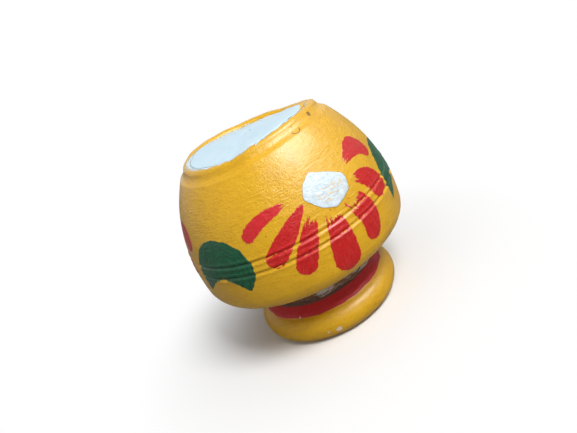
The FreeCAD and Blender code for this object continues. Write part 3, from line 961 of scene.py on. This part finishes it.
def shape_wax():
    """Lets the wax's top follow the rim, except where the wax has sunk and the lip stands clear of it,
    and marks where the yellow paint laps on to its edge."""
    points = get_points(wax)
    azimuth = azimuth_of(points)
    radius = np.hypot(points[:, 0], points[:, 1])
    lap = 1.6 * bump_at(azimuth, back, 70) + 2.0 * bump_at(azimuth, 62, 24) - 0.3
    on_top = points[:, 2] > rim_level - lip_round
    store(wax, "lap", np.where(on_top, lap - (flare_radius - radius), -4.0))
    near_top = near_rim(points[:, 2])
    outward = smooth_step(radius, 2.0, wax_radius)
    sunk = sunk_depth * bump_at(azimuth, back, 62) * near_top * smooth_step(radius, 5.0, wax_radius - 1.5)
    points[:, 2] -= sunk
    points[:, 2] += near_top * outward * rim_rise(azimuth)
    clay = BVHTree.FromObject(pot, bpy.context.evaluated_depsgraph_get())
    for index in np.flatnonzero((radius > wax_radius - 1.0) & (points[:, 2] > rim_level - 6.0)):
        x, y, level = points[index]
        lip_at = clay.ray_cast((0.0, 0.0, level * MM), (x, y, 0.0))[3]
        if lip_at is not None:
            reach = lip_at / MM - lip_gap
            points[index, :2] *= min(1.0, reach / radius[index])
    set_points(wax, points)


shape_wax()
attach(wax, "refill")
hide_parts("wax_refill")


# ---- Wick ----------------------------------------------------------------------------------------
# A stiff cotton cord that runs through the wax and is cut level with its top, so that only the waxed
# white end shows.

wick_low, wick_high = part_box("wick")
wick_foot = wick_low[2] / MM + seat_gap
wick_radius = wick_high[0] / MM - 0.06
wick_top = wax_level + 0.12


def paint_wick():
    """Cotton fibres, soaked with wax."""
    finish = Finish("cotton")
    fibres = finish.noise(3.0, finish.stretch(1.0, 1.0, 0.3), detail=5.0, rough=0.7, warp=1.2)
    tone = finish.mix(fibres, colour(192, 212, 224), colour(216, 230, 238))
    rough = finish.sum("MULTIPLY_ADD", fibres, 0.1, 0.7)
    finish.surface(tone, rough, finish.sum("MULTIPLY", fibres, 0.12))
    return finish.material


wick_profile = [
    *run_line((0.0, wick_foot), (wick_radius, wick_foot), 0.3),
    *run_line((wick_radius, wick_foot), (wick_radius, wax_level), 0.8),
    *run_line((wick_radius, wax_level), (0.0, wick_top), 0.2),
    (0.0, wick_top),
]
wick = throw_clay("wick_cord", wick_profile, paint_wick(), 48, 0.10, 0.9, 2.0)
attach(wick, "refill")
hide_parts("wick")


# ---- Studio --------------------------------------------------------------------------------------
# A pale floor that fades to the white background away from the lamp, a soft light high on the right
# with a larger one beside it that only the gloss shows, a weak one on the left, and a camera held
# close, tilted and looking down a little.

camera_side = math.radians(-20.5)
camera_rise = math.radians(20.99)
camera_away = 160 * MM
camera_roll = math.radians(28.2)
centre_level = 34.62 * MM
right = Vector((math.cos(camera_side), math.sin(camera_side), 0.0))
towards = Vector((math.sin(camera_side), -math.cos(camera_side), 0.0))
stand = towards * math.cos(camera_rise) * camera_away
stand.z = centre_level + math.sin(camera_rise) * camera_away
aim = Vector((0.0, 0.0, 31.7 * MM)) - right * 0.74 * MM
forward = (aim - stand).normalized()
level_right = forward.cross(Vector((0.0, 0.0, 1.0))).normalized()
level_up = level_right.cross(forward)
camera_up = level_up * math.cos(camera_roll) + level_right * math.sin(camera_roll)
camera_right = forward.cross(camera_up)
camera = bpy.data.objects.new("camera", bpy.data.cameras.new("camera"))
camera.data.sensor_width = 36.0
camera.data.lens = 33.67
camera.data.clip_start = 0.005
turned = Matrix((camera_right, camera_up, -forward)).transposed().to_4x4()
camera.matrix_world = Matrix.Translation(stand) @ turned
scene.collection.objects.link(camera)
scene.camera = camera


fade_from, fade_to = 22 * MM, 75 * MM
floor_seen, floor_bounce = 0.94, 0.40


def make_floor():
    """The floor, lit near the lamp and plain white further out, where only the camera sees it so."""
    mesh = bpy.data.meshes.new("floor")
    half = 1.5
    level = -0.02 * MM
    corners = [(-half, -half, level), (half, -half, level), (half, half, level), (-half, half, level)]
    mesh.from_pydata(corners, [], [(0, 1, 2, 3)])
    floor = bpy.data.objects.new("floor", mesh)
    scene.collection.objects.link(floor)
    material = bpy.data.materials.new("pale_floor")
    material.use_nodes = True
    tree = material.node_tree
    tree.nodes.clear()
    place = add_node(tree, "ShaderNodeTexCoord").outputs["Object"]
    away = add_node(tree, "ShaderNodeVectorMath", "LENGTH", i0=place).outputs["Value"]
    fade = tree.nodes.new("ShaderNodeMapRange")
    fade.interpolation_type = "SMOOTHSTEP"
    tree.links.new(away, fade.inputs["Value"])
    fade.inputs["From Min"].default_value = fade_from
    fade.inputs["From Max"].default_value = fade_to
    seen = add_node(tree, "ShaderNodeLightPath").outputs["Is Camera Ray"]
    share = add_node(tree, "ShaderNodeMath", "MULTIPLY", i0=fade.outputs[0], i1=seen).outputs[0]
    grey = tree.nodes.new("ShaderNodeMix")
    grey.data_type = "RGBA"
    tree.links.new(seen, grey.inputs[0])
    grey.inputs[6].default_value = (floor_bounce, floor_bounce, floor_bounce, 1.0)
    grey.inputs[7].default_value = (floor_seen, floor_seen, floor_seen, 1.0)
    matt = add_node(tree, "ShaderNodeBsdfDiffuse", Color=grey.outputs[2]).outputs[0]
    glow = add_node(tree, "ShaderNodeEmission", Color=(1, 1, 1, 1), Strength=1.0).outputs[0]
    blend = add_node(tree, "ShaderNodeMixShader", i0=share, i1=matt, i2=glow).outputs[0]
    output = tree.nodes.new("ShaderNodeOutputMaterial")
    tree.links.new(blend, output.inputs["Surface"])
    mesh.materials.append(material)


make_floor()
light_centre = 35 * MM


def add_softbox(name, side, rise, away, width, height, watts, sheen_only=False):
    """A rectangular light that faces the lamp. Side and rise are degrees from the camera's side.
    A light that is sheen_only shows in the gloss and doesn't brighten the colours."""
    lamp = bpy.data.lights.new(name, "AREA")
    lamp.shape = "RECTANGLE"
    lamp.size = width
    lamp.size_y = height
    lamp.energy = watts
    holder = bpy.data.objects.new(name, lamp)
    holder.visible_diffuse = not sheen_only
    scene.collection.objects.link(holder)
    turn = camera_side + math.radians(side)
    tilt = math.radians(rise)
    way = Vector((math.sin(turn) * math.cos(tilt), -math.cos(turn) * math.cos(tilt), math.sin(tilt)))
    holder.location = Vector((0.0, 0.0, light_centre)) + way * away
    holder.rotation_euler = way.to_track_quat("Z", "Y").to_euler()


add_softbox("window", 32, 50, 0.45, 0.18, 0.15, 2.0)
add_softbox("sheen", 56, 47, 0.45, 0.30, 0.24, 6.5, sheen_only=True)
add_softbox("fill", -70, 25, 0.60, 0.40, 0.40, 0.2)

air_light = 0.24
world = bpy.data.worlds.new("studio")
world.use_nodes = True
scene.world = world
air = world.node_tree
air.nodes.clear()
ray = add_node(air, "ShaderNodeLightPath").outputs
bright = add_node(air, "ShaderNodeMath", "MAXIMUM", i0=ray["Is Camera Ray"], i1=ray["Is Glossy Ray"])
bright = add_node(air, "ShaderNodeMath", "MAXIMUM", i0=bright.outputs[0], i1=ray["Is Transmission Ray"])
strength = add_node(air, "ShaderNodeMapRange", Value=bright.outputs[0], To_Min=air_light, To_Max=1.0)
sky = add_node(air, "ShaderNodeBackground", Color=(1, 1, 1, 1), Strength=strength.outputs[0])
air.links.new(sky.outputs[0], air.nodes.new("ShaderNodeOutputWorld").inputs["Surface"])
scene.view_settings.view_transform = "Standard"
